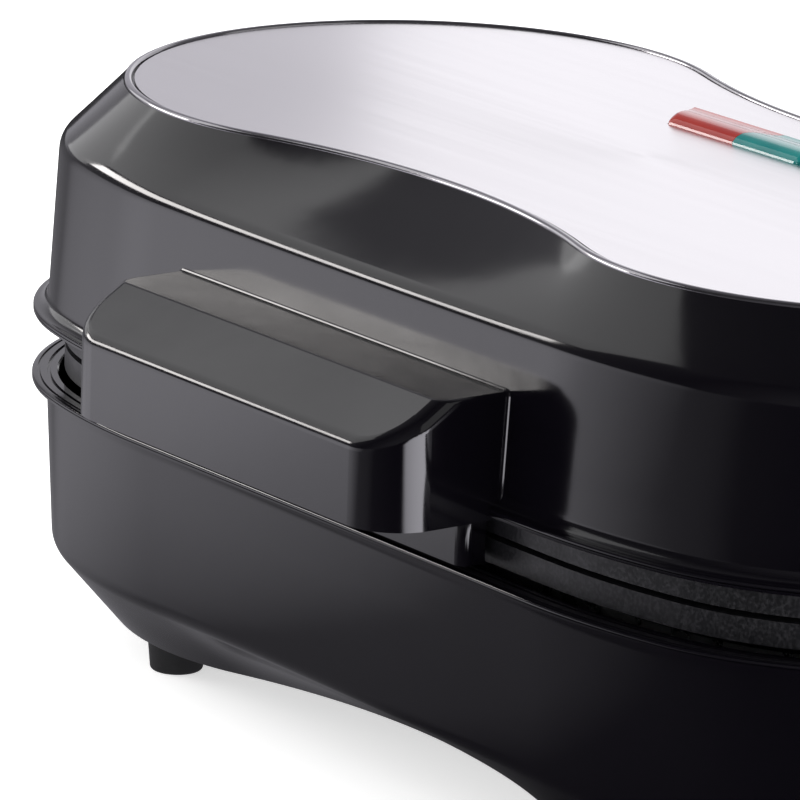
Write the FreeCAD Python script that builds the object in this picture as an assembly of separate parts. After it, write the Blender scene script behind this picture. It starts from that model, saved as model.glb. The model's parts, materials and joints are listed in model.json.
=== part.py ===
import FreeCAD, Part
import math
import os

V = FreeCAD.Vector

# Heights. PART_Z is the plane where the two halves meet, above the surface the feet
# stand on. Inside each half, w is the distance from that plane towards the outer face.
PART_Z = 60.9
W_FACE = 0.55
W_RIM = 6.2
W_LIP = 7.7
W_EDGE = 40.7
W_BAND = 53.2
W_BEZEL = 54.0
W_PANEL = 53.5
PANEL_T = 0.9
WALL = 2.5
W_CEILING = W_PANEL - PANEL_T - 2.4

# Plan of the body: straight front, wide curve, tighter curve, straight end.
BODY_Y = 69.5
BODY_XS = 61.0
FRONT_R = 141.0
FRONT_TURN = 13.85
END_R = 54.3
DRAFT = math.tan(math.radians(3.0))
LIP_OUT = 4.6
LIP_FILLET = 2.4
EDGE_FILLET = 2.2

# Plan of the panel: two round lobes joined by a waist.
LOBE_X = 70.0
LOBE_R = 57.0
WAIST_Y = 44.8
BEZEL_W = 2.2
PANEL_GAP = 0.15

# Baking plates, eight ring moulds in each.
PLATE_OFF = -1.8
PLATE_T = 3.5
PLATE_RIM_W = 5.2
PLATE_SKIRT = 2.5
RING_X = (-87.0, -29.0, 29.0, 87.0)
RING_Y = (-29.5, 29.5)
RING_R = 16.5
RING_TUBE = 9.5
RING_WALL = 2.5
BOSS_X = (-118.0, -58.0, 58.0, 118.0)
BOSS_R = 4.5
W_BOSS = 20.0

# Heating elements, reflectors and the screws that hold each stack.
ELEMENT_R = 3.25
W_ELEMENT = 15.9
ELEMENT_Y = 29.5
ELEMENT_TURN_X = 72.0
ELEMENT_LEG_X = -92.0
ELEMENT_BEND = 8.0
W_LEG = 32.0
REFLECTOR_OFF = -9.5
REFLECTOR_T = 0.6
W_REFLECTOR_LIP = 8.5
POST_R = 5.5
WELL_R = 3.9
SCREW_R = 2.0
SCREW_GAP = 0.15
W_SCREW_SEAT = 26.0

# Rear hinge.
HINGE_Y = 83.0
KNUCKLE_R = 7.0
PIN_R = 2.5
PIN_GAP = 0.05
BASE_ARM_X = (50.0, 59.0)
LID_ARM_X = (59.4, 68.4)
ARM_EASE = 0.6
DUCT_ARM_X = (0.3, 11.0)
DUCT_R = 2.6
LEAD_R = 1.9

# Handle and the latch bar under it.
HANDLE_X = 51.4
HANDLE_FRONT = -97.5
HANDLE_BREAK = -85.0
HANDLE_Z = (66.2, 81.9, 89.6)
HANDLE_CORNER = 10.5
HANDLE_CREST = 3.0
HANDLE_CREASE = 0.8
LATCH_Y = -77.5
LATCH_Z = 77.0
LATCH_PIN_R = 1.5
LATCH_ARM_X = 18.0
LATCH_BAR_X = 46.3
TONGUE_X = 10.0
HANDLE_SCREW_X = 35.0
HANDLE_SCREW_Z = 76.0

# Indicator bar on the lid.
BAR_Y = (20.8, 23.2, 33.6)
BAR_X = (19.5, 27.5)
BAR_GAP = 0.2

# Feet and vents.
FOOT_X = 79.5
FOOT_Y = 49.5
FOOT_R = (5.2, 5.9)

# Cord entry, terminal block, small fixings.
GLAND_X = 30.0
GLAND_W = 30.0
GLAND_R = 5.5
COVER_SCREWS = ((-34.0, -36.0), (34.0, -36.0), (-34.0, 36.0), (34.0, 36.0))
BLOCK_X = (64.0, 76.0, 88.0)
BLOCK_Y = 29.0
STRAP_SCREW_X = 5.6

# The row's origin is under the middle of the overall box, so everything moves back by this.
FRAME_Y = -(HANDLE_FRONT + HINGE_Y + KNUCKLE_R) / 2.0


def side_xy(points, sx, sy):
    """Mirrored copies of plan points."""
    return [(p[0] * sx, p[1] * sy) for p in points]


def closed_ring(arcs, front_mid, end_mid, w):
    """Closed wire from one quarter's arcs; the links are arcs through a mid point or lines."""
    quarters = []
    for sx, sy in ((1, -1), (1, 1), (-1, 1), (-1, -1)):
        turned = [side_xy(a, sx, -sy) for a in arcs]
        if sx * sy > 0:
            turned = [list(reversed(a)) for a in reversed(turned)]
        quarters.append(turned)
    mids = [
        end_mid,
        (0.0, -front_mid[1]) if front_mid else None,
        (-end_mid[0], 0.0) if end_mid else None,
        front_mid,
    ]
    edges = []
    for i in range(4):
        for a, m, b in quarters[i]:
            edges.append(Part.Arc(V(a[0], a[1], w), V(m[0], m[1], w), V(b[0], b[1], w)).toShape())
        a = quarters[i][-1][2]
        b = quarters[(i + 1) % 4][0][0]
        m = mids[i]
        if m:
            edges.append(Part.Arc(V(a[0], a[1], w), V(m[0], m[1], w), V(b[0], b[1], w)).toShape())
        else:
            edges.append(Part.LineSegment(V(a[0], a[1], w), V(b[0], b[1], w)).toShape())
    return Part.Wire(edges)


def on_arc(c, r, deg):
    """Plan point on a circle; the angle is measured from -Y towards +X."""
    a = math.radians(deg)
    return (c[0] + r * math.sin(a), c[1] - r * math.cos(a))


def body_ring(off, w):
    """The body's plan grown by off, at level w."""
    c1 = (BODY_XS, FRONT_R - BODY_Y)
    c2 = on_arc(c1, FRONT_R - END_R, FRONT_TURN)
    r1 = FRONT_R + off
    r2 = END_R + off
    mid = (FRONT_TURN + 90.0) / 2.0
    arcs = [
        [on_arc(c1, r1, 0.0), on_arc(c1, r1, FRONT_TURN / 2.0), on_arc(c1, r1, FRONT_TURN)],
        [on_arc(c2, r2, FRONT_TURN), on_arc(c2, r2, mid), on_arc(c2, r2, 90.0)],
    ]
    return closed_ring(arcs, None, None, w)


def panel_ring(off, w):
    """The panel's two-lobed plan grown by off, at level w."""
    waist_r = (LOBE_X ** 2 + WAIST_Y ** 2 - LOBE_R ** 2) / (2.0 * (LOBE_R - WAIST_Y))
    c = (LOBE_X, 0.0)
    r = LOBE_R + off
    start = -math.degrees(math.atan2(LOBE_X, WAIST_Y + waist_r))
    cuts = (start, 17.0, 77.0)
    arcs = []
    for a, b in zip(cuts[:-1], cuts[1:]):
        arcs.append([on_arc(c, r, a), on_arc(c, r, (a + b) / 2.0), on_arc(c, r, b)])
    return closed_ring(arcs, (0.0, -(WAIST_Y + off)), (LOBE_X + r, 0.0), w)


def loft(a, b):
    """Straight-sided solid between two wires."""
    return Part.makeLoft([a, b], True, True)


def slab(wire, h):
    """Prism of a closed wire."""
    return Part.Face(wire).extrude(V(0, 0, h))


def box(x0, x1, y0, y1, z0, z1):
    """Box between two corners."""
    return Part.makeBox(x1 - x0, y1 - y0, z1 - z0, V(x0, y0, z0))


def rod(x, y, z0, z1, r):
    """Upright cylinder."""
    return Part.makeCylinder(r, z1 - z0, V(x, y, z0))


def rod_x(x0, x1, y, z, r):
    """Cylinder along X."""
    return Part.makeCylinder(r, x1 - x0, V(x0, y, z), V(1, 0, 0))


def rod_y(x, y0, y1, z, r):
    """Cylinder along Y."""
    return Part.makeCylinder(r, y1 - y0, V(x, y0, z), V(0, 1, 0))


def union(shapes):
    """One solid from several."""
    return shapes[0].multiFuse(shapes[1:]).removeSplitter()


def place(shape, side):
    """Moves a half's local shape into the row frame: side 1 is the lid, -1 the base."""
    out = shape.copy()
    if side < 0:
        out = out.mirror(V(0, 0, 0), V(0, 0, 1))
    out.translate(V(0, 0, PART_Z))
    return out


def wall_off(w):
    """How far the drafted wall stands outside the body's plan at level w."""
    return (W_EDGE - w) * DRAFT


def level_edges(shape, w):
    """Edges of a shape that lie in the level w."""
    found = []
    for e in shape.Edges:
        if abs(e.BoundBox.ZMin - w) < 1e-3 and abs(e.BoundBox.ZMax - w) < 1e-3:
            found.append(e)
    return found


def shell_outer():
    """Outer form of one half: lip, drafted wall, sloping band and raised bezel."""
    wall = loft(body_ring(wall_off(W_RIM), W_RIM), body_ring(0.0, W_EDGE))
    band = loft(body_ring(0.0, W_EDGE), panel_ring(BEZEL_W, W_BAND))
    bezel = slab(panel_ring(BEZEL_W, W_BAND), W_BEZEL - W_BAND)
    lip = slab(body_ring(LIP_OUT, W_RIM), W_LIP - W_RIM)
    form = union([wall, band, bezel, lip])
    form = form.makeFillet(EDGE_FILLET, level_edges(form, W_EDGE))
    form = form.makeFillet(0.6, level_edges(form, W_BEZEL))
    inside = Part.Face(body_ring(LIP_OUT - 1.0, W_LIP))
    root = [e for e in level_edges(form, W_LIP) if inside.isInside(e.valueAt(e.FirstParameter), 0.01, True)]
    return form.makeFillet(LIP_FILLET, root)


def shell_inner():
    """Hollow of one half."""
    low = loft(body_ring(wall_off(W_RIM) - WALL, W_RIM - 1.0), body_ring(-WALL, W_EDGE - 1.2))
    high = loft(body_ring(-WALL, W_EDGE - 1.2), panel_ring(-2.0, W_CEILING))
    return union([low, high])


def half_shell():
    """One half's moulding with the panel recess, screw posts and their wells."""
    form = shell_outer().cut(shell_inner())
    recess = slab(panel_ring(PANEL_GAP, W_PANEL - PANEL_T), 4.0)
    posts = [rod(x, 0.0, W_BOSS + REFLECTOR_T + 0.05, W_CEILING + 0.5, POST_R) for x in BOSS_X]
    wells = [rod(x, 0.0, W_SCREW_SEAT, W_BEZEL, WELL_R) for x in BOSS_X]
    holes = [rod(x, 0.0, W_BOSS, W_BEZEL, SCREW_R + SCREW_GAP) for x in BOSS_X]
    return form.multiFuse(posts).cut(recess).cut(wells).cut(holes).removeSplitter()


def arm(x0, x1):
    """Hinge arm of one half, from inside its rear wall to the hinge line, with eased sides."""
    pts = [(-KNUCKLE_R, 0.0), (-9.5, 6.3), (-13.5, 6.3), (-13.5, 26.0), (-11.5, 26.0), (5.5, 4.3)]
    face = Part.Face(Part.makePolygon([V(x0, HINGE_Y + y, z) for y, z in pts + pts[:1]]))
    bar = face.extrude(V(x1 - x0, 0, 0))
    form = bar.fuse(rod_x(x0, x1, HINGE_Y, 0.0, KNUCKLE_R)).removeSplitter()
    sides = [e for e in form.Edges if e.BoundBox.XLength < 1e-6]
    return form.makeChamfer(ARM_EASE, sides)


def duct_path(side):
    """Run of the lead through the middle pair of arms, in local levels."""
    x = side * 5.7
    return [(side * 0.25, HINGE_Y, 0.0), (x, HINGE_Y, 0.0), (x, 72.5, 16.0), (x, 63.5, 23.5)]


def tube(points, r):
    """Round tube along straight runs with ball corners."""
    parts = []
    for a, b in zip(points[:-1], points[1:]):
        d = V(*b) - V(*a)
        parts.append(Part.makeCylinder(r, d.Length, V(*a), d))
    for p in points[1:-1]:
        parts.append(Part.makeSphere(r, V(*p)))
    return union(parts)


def pin_holes(side):
    """Holes for the two hinge pins; they run free in the lid and press into the base."""
    r = PIN_R if side < 0 else PIN_R + PIN_GAP
    span = BASE_ARM_X if side < 0 else LID_ARM_X
    return [rod_x(span[0] - 1, span[1] + 1, HINGE_Y, 0.0, r), rod_x(-span[1] - 1, -span[0] + 1, HINGE_Y, 0.0, r)]


def hinge_arms(side):
    """The three arms of one half, ending on the wall's outer face, with pin holes and lead duct."""
    span = BASE_ARM_X if side < 0 else LID_ARM_X
    middle = (-DUCT_ARM_X[1], -DUCT_ARM_X[0]) if side < 0 else DUCT_ARM_X
    cuts = [shell_outer(), tube(duct_path(side), DUCT_R)] + pin_holes(side)
    spans = (span, (-span[1], -span[0]), middle)
    return Part.makeCompound([place(arm(x0, x1).cut(cuts), side) for x0, x1 in spans])


def upper_shell():
    """Lid moulding with the indicator slot, the lead duct and the handle's screw holes."""
    slot = bar_plan(W_CEILING - 1.0, W_PANEL, BAR_GAP)
    duct = tube(duct_path(1), DUCT_R)
    z = HANDLE_SCREW_Z - PART_Z
    screws = [rod_y(x, -75.0, -60.0, z, SCREW_R + SCREW_GAP) for x in (-HANDLE_SCREW_X, HANDLE_SCREW_X)]
    return place(half_shell().cut([slot, duct] + screws).removeSplitter(), 1)


def vent_slots(w0, w1):
    """Two groups of slots in the underside."""
    out = []
    for cx in (-88.0, 88.0):
        for i in range(5):
            y = -16.0 + 8.0 * i
            out.append(box(cx - 11.0, cx + 11.0, y - 1.4, y + 1.4, w0, w1))
    return out


def foot_spots():
    """Plan positions of the feet."""
    return [(sx * FOOT_X, sy * FOOT_Y) for sx in (-1, 1) for sy in (-1, 1)]


def lower_shell():
    """Base moulding with vents, gland hole, latch ledge, lead duct and screw holes."""
    ledge = box(-12.0, 12.0, -70.0, -66.6, 8.7, 10.7)
    duct = tube(duct_path(-1), DUCT_R)
    feet = [rod(x, y, W_CEILING - 1.0, W_PANEL, 2.6) for x, y in foot_spots()]
    gland = rod_y(GLAND_X, 60.0, 80.0, GLAND_W, GLAND_R + 0.05)
    cover = [rod(x, y, W_CEILING - 1.0, W_PANEL, 1.1) for x, y in COVER_SCREWS]
    cuts = [duct, gland] + feet + cover + vent_slots(W_CEILING - 1.0, W_PANEL)
    return place(half_shell().fuse(ledge).cut(cuts).removeSplitter(), -1)


def base_cover():
    """Vented cover in the underside's recess, with wells over the plate screws."""
    form = slab(panel_ring(0.0, W_PANEL - PANEL_T), PANEL_T)
    cuts = vent_slots(W_CEILING, W_BEZEL)
    cuts += [rod(x, 0.0, W_CEILING, W_BEZEL, WELL_R) for x in BOSS_X]
    cuts += [rod(x, y, W_CEILING, W_BEZEL, 2.6) for x, y in foot_spots()]
    cuts += [rod(x, y, W_CEILING, W_BEZEL, 1.3) for x, y in COVER_SCREWS]
    return place(form.cut(cuts), -1)


def cover_screws():
    """Small screws of the base cover."""
    out = []
    for x, y in COVER_SCREWS:
        head = Part.makeCone(2.4, 2.0, 1.0, V(x, y, W_PANEL))
        out.append(place(head.fuse(rod(x, y, W_CEILING - 2.0, W_PANEL, 1.1)).removeSplitter(), -1))
    return Part.makeCompound(out)


def top_panel():
    """Brushed steel panel of the lid with the slot for the indicator bar."""
    form = slab(panel_ring(0.0, W_PANEL - PANEL_T), PANEL_T)
    return place(form.cut(bar_plan(W_CEILING, W_BEZEL, BAR_GAP)), 1)


def bar_plan(w0, w1, gap):
    """Prism of the indicator bar's plan: short front side, longer rear side."""
    y0 = BAR_Y[0] - gap
    y1 = BAR_Y[2] + gap
    a = BAR_X[0] + gap
    b = BAR_X[1] + gap
    pts = [(-a, y0), (a, y0), (b, y1), (-b, y1), (-a, y0)]
    return Part.Face(Part.makePolygon([V(x, y, w0) for x, y in pts])).extrude(V(0, 0, w1 - w0))


def lens(sign):
    """One half of the ridged indicator bar; sign -1 is the left one."""
    y0, ym, y1 = BAR_Y
    pts = [(y0, W_CEILING), (y0, W_PANEL + 0.7), (ym, W_PANEL + 1.9), (y1, W_PANEL + 0.5), (y1, W_CEILING)]
    face = Part.Face(Part.makePolygon([V(-40.0, y, z) for y, z in pts + pts[:1]]))
    ridge = face.extrude(V(80.0, 0, 0)).common(bar_plan(W_CEILING, W_BEZEL + 4.0, 0.0))
    half = box(0.05, 40.0, 0.0, 60.0, 0.0, 80.0) if sign > 0 else box(-40.0, -0.05, 0.0, 60.0, 0.0, 80.0)
    form = ridge.common(half)
    crest = [e for e in form.Edges if e.BoundBox.ZMin > W_PANEL + 0.4 and e.BoundBox.XLength > 15.0]
    return place(form.makeFillet(0.45, crest), 1)


def lamp_holder():
    """Cradle under the ceiling with a cell for each lamp."""
    form = box(-30.0, 30.0, 19.0, 35.4, 41.0, W_CEILING - 0.05)
    cells = [box(-28.5, -0.8, 20.5, 33.9, 42.5, W_CEILING), box(0.8, 28.5, 20.5, 33.9, 42.5, W_CEILING)]
    vias = [rod(x, 27.2, 40.0, 43.0, 1.6) for x in (-18.0, -8.0, 8.0, 18.0)]
    return place(form.cut(cells + vias), 1)


def lamp(sign):
    """Small neon lamp lying in its cell, with two legs through the cradle."""
    bulb = rod_x(-7.0, 5.5, 27.2, 46.2, 2.6)
    bulb = bulb.fuse(Part.makeSphere(2.6, V(5.5, 27.2, 46.2)))
    legs = [rod(x, 27.2, 38.5, 46.0, 0.6) for x in (-5.0, 5.0)]
    form = bulb.multiFuse(legs).removeSplitter()
    form.translate(V(sign * 13.0, 0, 0))
    return place(form, 1)


def baking_plate():
    """Cast plate: eight half-ring moulds, rim, screw bosses; the face is at W_FACE."""
    rim = slab(body_ring(PLATE_OFF, W_FACE), PLATE_RIM_W - W_FACE)
    pocket = slab(body_ring(PLATE_OFF - PLATE_SKIRT, W_FACE + PLATE_T), PLATE_RIM_W)
    form = rim.cut(pocket)
    below = box(-200.0, 200.0, -200.0, 200.0, W_FACE, 40.0)
    cups = []
    moulds = []
    for x in RING_X:
        for y in RING_Y:
            c = V(x, y, W_FACE)
            cups.append(Part.makeTorus(RING_R, RING_TUBE + RING_WALL, c).common(below))
            moulds.append(Part.makeTorus(RING_R, RING_TUBE, c))
    bosses = [rod(x, 0.0, W_FACE + 1.0, W_BOSS, BOSS_R) for x in BOSS_X]
    taps = [rod(x, 0.0, 9.0, W_BOSS + 1.0, SCREW_R) for x in BOSS_X]
    form = form.multiFuse(cups + bosses)
    return form.cut(moulds + taps).removeSplitter()


def lower_plate():
    """Base baking plate, notched at the middle of its front rim for the latch."""
    notch = box(-14.0, 14.0, -75.0, -60.3, 0.0, 9.0)
    return place(baking_plate().cut(notch), -1)


def upper_plate():
    """Lid baking plate, tapped for the fuse strap's screw."""
    return place(baking_plate().cut(rod(STRAP_SCREW_X, 0.0, 2.0, 6.0, 1.2)), 1)


def element_path():
    """Centre line of the heating element: two legs, two long runs and the turn."""
    y = ELEMENT_Y
    b = ELEMENT_BEND
    w = W_ELEMENT
    x0 = ELEMENT_LEG_X
    k = b * (1.0 - math.sqrt(0.5))
    t = ELEMENT_TURN_X
    edges = []
    edges.append(Part.LineSegment(V(x0 - b, -y, W_LEG), V(x0 - b, -y, w + b)).toShape())
    edges.append(Part.Arc(V(x0 - b, -y, w + b), V(x0 - b + k, -y, w + k), V(x0, -y, w)).toShape())
    edges.append(Part.LineSegment(V(x0, -y, w), V(t, -y, w)).toShape())
    edges.append(Part.Arc(V(t, -y, w), V(t + y, 0, w), V(t, y, w)).toShape())
    edges.append(Part.LineSegment(V(t, y, w), V(x0, y, w)).toShape())
    edges.append(Part.Arc(V(x0, y, w), V(x0 - b + k, y, w + k), V(x0 - b, y, w + b)).toShape())
    edges.append(Part.LineSegment(V(x0 - b, y, w + b), V(x0 - b, y, W_LEG)).toShape())
    return Part.Wire(edges)


def heating_element(side):
    """Tubular element that lies against the back of the moulds."""
    start = V(ELEMENT_LEG_X - ELEMENT_BEND, -ELEMENT_Y, W_LEG)
    ring = Part.Wire(Part.makeCircle(ELEMENT_R, start, V(0, 0, 1)))
    return place(element_path().makePipeShell([ring], True, False), side)


def leg_spots():
    """Plan positions of the element's two ends."""
    x = ELEMENT_LEG_X - ELEMENT_BEND
    return [(x, -ELEMENT_Y), (x, ELEMENT_Y)]


def element_terminals(side):
    """Ceramic beads and tabs on the element's ends."""
    out = []
    for x, y in leg_spots():
        bead = rod(x, y, W_LEG + 0.05, W_LEG + 5.0, 3.6)
        tab = box(x - 3.0, x + 3.0, y - 0.4, y + 0.4, W_LEG + 4.5, W_LEG + 11.0)
        out.append(place(bead.fuse(tab).removeSplitter(), side))
    return Part.makeCompound(out)


def reflector(side):
    """Sheet tray behind the element, with holes for screws, legs and the control."""
    top = W_BOSS + REFLECTOR_T
    form = slab(body_ring(REFLECTOR_OFF, W_REFLECTOR_LIP), top - W_REFLECTOR_LIP)
    hollow = slab(body_ring(REFLECTOR_OFF - REFLECTOR_T, W_REFLECTOR_LIP - 1.0), W_BOSS + 1.0 - W_REFLECTOR_LIP)
    cuts = [hollow]
    cuts += [rod(x, 0.0, W_BOSS - 1.0, top + 1.0, SCREW_R + SCREW_GAP) for x in BOSS_X]
    cuts += [rod(x + 1.2, y, W_BOSS - 1.0, top + 1.0, ELEMENT_R + 2.4) for x, y in leg_spots()]
    cuts += [rod(0.0, 0.0, W_BOSS - 1.0, top + 1.0, 9.0)]
    return place(form.cut(cuts), side)


def plate_screws(side):
    """Long screws that hold plate and reflector to the posts."""
    out = []
    for x in BOSS_X:
        shank = rod(x, 0.0, 12.0, W_SCREW_SEAT, SCREW_R)
        head = rod(x, 0.0, W_SCREW_SEAT, W_SCREW_SEAT + 2.6, 3.5)
        cross = [box(x - 2.0, x + 2.0, -0.4, 0.4, W_SCREW_SEAT + 1.2, W_SCREW_SEAT + 3.0),
                 box(x - 0.4, x + 0.4, -2.0, 2.0, W_SCREW_SEAT + 1.2, W_SCREW_SEAT + 3.0)]
        out.append(place(shank.fuse(head).cut(cross).removeSplitter(), side))
    return Part.makeCompound(out)


def thermostat():
    """Snap-disc thermostat on the back of the base's plate."""
    can = rod(0.0, 0.0, W_FACE + PLATE_T + 0.05, 9.0, 8.0)
    cap = rod(0.0, 0.0, 9.0, 16.0, 6.8)
    tabs = [box(x - 0.4, x + 0.4, -3.0, 3.0, 15.0, 23.0) for x in (-4.5, 4.5)]
    return place(can.multiFuse([cap] + tabs).removeSplitter(), -1)


def thermal_fuse():
    """Thermal fuse in its sleeve, across the back of the lid's plate."""
    body = rod_y(0.0, -9.0, 9.0, 7.2, 2.0)
    tails = rod_y(0.0, -11.5, 11.5, 7.2, 0.6)
    return place(body.fuse(tails).removeSplitter(), 1)


def fuse_strap():
    """Bent strap that holds the thermal fuse on the plate."""
    low = W_FACE + PLATE_T + 0.05
    form = box(-8.0, 8.0, -3.0, 3.0, low, low + 0.8)
    hoop = rod_y(0.0, -3.0, 3.0, 7.2, 2.9)
    form = union([form, hoop, box(-2.9, 2.9, -3.0, 3.0, low, 7.2)])
    return place(form.cut([rod_y(0.0, -4.0, 4.0, 7.2, 2.05), rod(STRAP_SCREW_X, 0.0, 3.0, 9.0, 1.3)]), 1)


def strap_screw():
    """Screw of the fuse strap."""
    low = W_FACE + PLATE_T
    form = rod(STRAP_SCREW_X, 0.0, low - 2.0, low + 1.0, 1.2)
    form = form.fuse(rod(STRAP_SCREW_X, 0.0, low + 0.9, low + 2.6, 2.3))
    return place(form.removeSplitter(), 1)


def cord_gland():
    """Flanged bush in the rear wall that the supply cord enters through."""
    y_out = BODY_Y + wall_off(GLAND_W - GLAND_R - 2.5) + 0.02
    form = rod_y(GLAND_X, y_out - 8.0, y_out + 1.0, GLAND_W, GLAND_R)
    form = form.fuse(rod_y(GLAND_X, y_out, y_out + 2.4, GLAND_W, GLAND_R + 2.5)).removeSplitter()
    return place(form.cut(rod_y(GLAND_X, 50.0, 90.0, GLAND_W, 3.4)), -1)


def terminal_block():
    """Three-way terminal block on the base's floor."""
    w = W_CEILING - 0.05
    form = box(BLOCK_X[0] - 6.0, BLOCK_X[2] + 6.0, BLOCK_Y - 8.0, BLOCK_Y + 8.0, w - 14.0, w)
    bores = [rod_y(x, BLOCK_Y - 9.0, BLOCK_Y + 9.0, w - 7.0, 2.0) for x in BLOCK_X]
    drives = [rod(x, BLOCK_Y + y, w - 15.0, w - 8.0, 2.0) for x in BLOCK_X for y in (-4.0, 4.0)]
    return place(form.cut(bores + drives), -1)


def terminal_screws():
    """Clamp screws of the terminal block."""
    w = W_CEILING - 0.05
    out = []
    for x in BLOCK_X:
        for y in (BLOCK_Y - 4.0, BLOCK_Y + 4.0):
            body = rod(x, y, w - 13.4, w - 9.2, 1.9)
            out.append(place(body.cut(box(x - 2.0, x + 2.0, y - 0.35, y + 0.35, w - 14.0, w - 12.6)), -1))
    return Part.makeCompound(out)


def base_leads():
    """Insulated leads from the terminal block to element, thermostat and hinge duct."""
    w = W_CEILING - 7.05
    leg = W_LEG + 9.0
    x = leg_spots()[0][0]
    y = ELEMENT_Y
    runs = [
        [(64.0, 23.0, w), (64.0, 17.0, w), (30.0, 22.0, w), (-40.0, 24.0, w), (-88.0, 23.0, w),
         (x + 4.0, 24.0, leg), (x, y - 1.7, leg)],
        [(76.0, 23.0, w), (76.0, 13.0, w), (40.0, 12.0, 36.0), (8.0, 4.8, 27.0), (4.5, 4.4, 21.0)],
        [(-4.5, -4.4, 21.0), (-8.0, -6.0, 27.0), (-44.0, -20.0, 36.0), (-88.0, -24.0, 36.0), (x, -y + 1.7, leg)],
    ]
    out = [place(tube(r, 1.2), -1) for r in runs]
    feed = duct_path(-1) + [(-5.7, 52.0, 30.0), (6.0, 43.0, w), (60.0, 42.0, w), (64.0, 40.0, w), (64.0, 34.0, w)]
    out.append(place(tube(feed, LEAD_R), -1))
    return Part.makeCompound(out)


def lid_leads():
    """Insulated leads from the hinge duct to fuse, element and lamps."""
    leg = W_LEG + 9.0
    x = leg_spots()[0][0]
    y = ELEMENT_Y
    feed = duct_path(1) + [(5.7, 54.0, 30.0), (0.0, 46.0, 36.0)]
    runs = [
        [(-3.5, 42.5, 36.0), (-50.0, 38.0, 40.0), (x + 6.0, 36.0, leg), (x, y + 1.7, leg)],
        [(0.0, 12.6, 7.2), (0.0, 13.6, 12.0), (0.0, 6.5, 18.0), (0.0, 6.0, 24.0), (0.0, 42.5, 33.0)],
        [(0.0, -12.6, 7.2), (0.0, -13.6, 12.0), (0.0, -6.5, 18.0), (0.0, -6.0, 24.0), (-40.0, -22.0, 32.0),
         (x + 6.0, -24.0, leg), (x, -y + 1.7, leg)],
        [(-18.0, 27.2, 37.2), (-18.0, 38.5, 35.0), (-6.0, 43.0, 36.0)],
        [(18.0, 27.2, 37.2), (18.0, 38.5, 35.0), (3.4, 44.0, 36.0)],
    ]
    out = [place(tube(feed, LEAD_R), 1)]
    out += [place(tube(r, 1.0), 1) for r in runs]
    return Part.makeCompound(out)


def hinge_pins():
    """Two headed pins on the hinge line."""
    out = []
    for s in (-1, 1):
        a = BASE_ARM_X[0] - 0.1
        b = LID_ARM_X[1] + 2.0
        pin = rod_x(min(s * a, s * b), max(s * a, s * b), HINGE_Y, PART_Z, PIN_R)
        head_x = s * (a - 0.9)
        head = rod_x(head_x - 0.9, head_x + 0.9, HINGE_Y, PART_Z, 4.0)
        groove_x = s * (b - 1.2)
        groove = rod_x(groove_x - 0.4, groove_x + 0.4, HINGE_Y, PART_Z, 4.0)
        groove = groove.cut(rod_x(groove_x - 1.0, groove_x + 1.0, HINGE_Y, PART_Z, 1.9))
        out.append(pin.fuse(head).cut(groove).removeSplitter())
    return Part.makeCompound(out)


def pin_clips():
    """Snap rings in the grooves at the pins' outer ends."""
    out = []
    for s in (-1, 1):
        x = s * (LID_ARM_X[1] + 0.8)
        ring = rod_x(x - 0.35, x + 0.35, HINGE_Y, PART_Z, 4.2)
        bite = box(x - 1.0, x + 1.0, HINGE_Y, HINGE_Y + 6.0, PART_Z - 1.2, PART_Z + 1.2)
        out.append(ring.cut([rod_x(x - 1.0, x + 1.0, HINGE_Y, PART_Z, 1.95), bite]))
    return Part.makeCompound(out)


def handle():
    """Block handle against the lid's front wall, hollow from behind, with the latch's well."""
    z0, z1, z2 = HANDLE_Z
    yf = HANDLE_FRONT
    pts = [(-66.0, z0), (yf, z0), (yf, z1), (HANDLE_BREAK, z2), (-66.0, z2)]
    face = Part.Face(Part.makePolygon([V(-HANDLE_X, y, z) for y, z in pts + pts[:1]]))
    form = face.extrude(V(2.0 * HANDLE_X, 0, 0))
    upright = []
    for e in form.Edges:
        if e.BoundBox.ZLength > 10.0 and abs(e.BoundBox.YMin - yf) < 1e-3:
            upright.append(e)
    form = form.makeFillet(HANDLE_CORNER, upright)
    for radius, low, high in ((HANDLE_CREST, z1 - 0.1, z2 - 0.1), (HANDLE_CREASE, z2 - 0.1, z2 + 0.1)):
        ridge = []
        for e in form.Edges:
            b = e.BoundBox
            if low < b.ZMin < high and b.ZMax < z2 + 0.1 and b.YMax < HANDLE_BREAK + 0.1:
                ridge.append(e)
        form = form.makeFillet(radius, ridge)
    pockets = []
    for s in (-1, 1):
        a = LATCH_ARM_X + 5.0
        b = HANDLE_X - 3.2
        pockets.append(box(min(s * a, s * b), max(s * a, s * b), -93.0, -60.0, z0 + 3.2, z1 - 1.5))
    form = form.cut(pockets)
    bosses = [rod_y(x, -94.0, -70.0, HANDLE_SCREW_Z, 4.5) for x in (-HANDLE_SCREW_X, HANDLE_SCREW_X)]
    taps = [rod_y(x, -84.0, -60.0, HANDLE_SCREW_Z, SCREW_R) for x in (-HANDLE_SCREW_X, HANDLE_SCREW_X)]
    well = box(-LATCH_ARM_X - 0.6, LATCH_ARM_X + 0.6, -84.0, -60.0, z0 - 1.0, LATCH_Z + 5.5)
    pin = rod_x(-LATCH_ARM_X - 4.0, LATCH_ARM_X + 4.0, LATCH_Y, LATCH_Z, LATCH_PIN_R)
    form = form.multiFuse(bosses).cut(taps + [well, pin])
    solid_lid = place(shell_outer(), 1)
    return form.cut(solid_lid).removeSplitter()


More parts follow.
